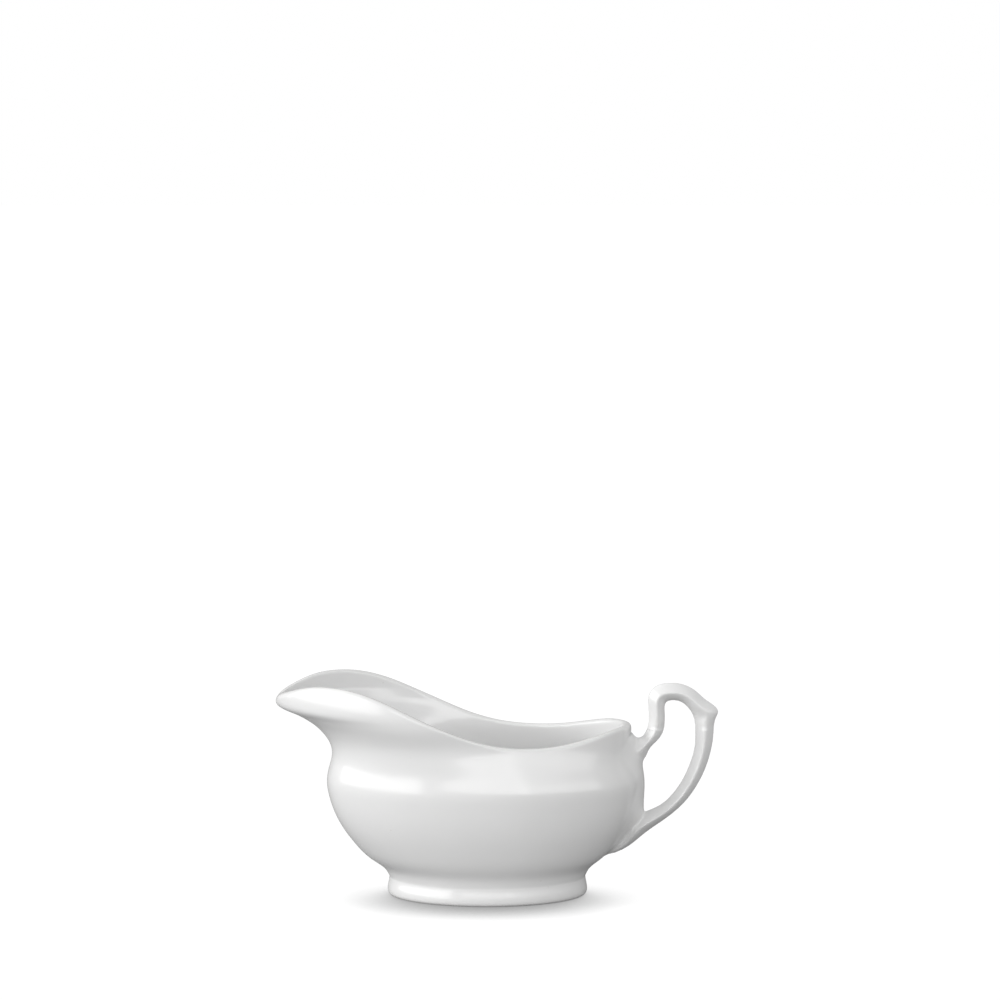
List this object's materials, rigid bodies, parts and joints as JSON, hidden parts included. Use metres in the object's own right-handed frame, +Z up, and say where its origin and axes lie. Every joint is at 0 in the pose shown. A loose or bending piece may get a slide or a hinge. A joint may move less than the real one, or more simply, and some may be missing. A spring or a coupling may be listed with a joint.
{
  "type": "gravy boat",
  "caption": "Glazed white china gravy boat: an oval footed bowl with a swept pouring spout and a scrolled loop handle with a thumb spur.",
  "frame": {"origin": "centre of the foot ring's resting face", "axes": "+X towards the handle, -X towards the spout, +Z up; the boat is mirror-symmetric about the plane y = 0"},
  "size_m": [0.2002, 0.0921, 0.0985],
  "materials": {
    "body_glaze": "gloss",
    "foot_glaze": "gloss",
    "handle_glaze": "gloss"
  },
  "bodies": {
    "root": {"bowl": "body_glaze", "foot": "foot_glaze", "handle": "handle_glaze"}
  },
  "joints": []
}
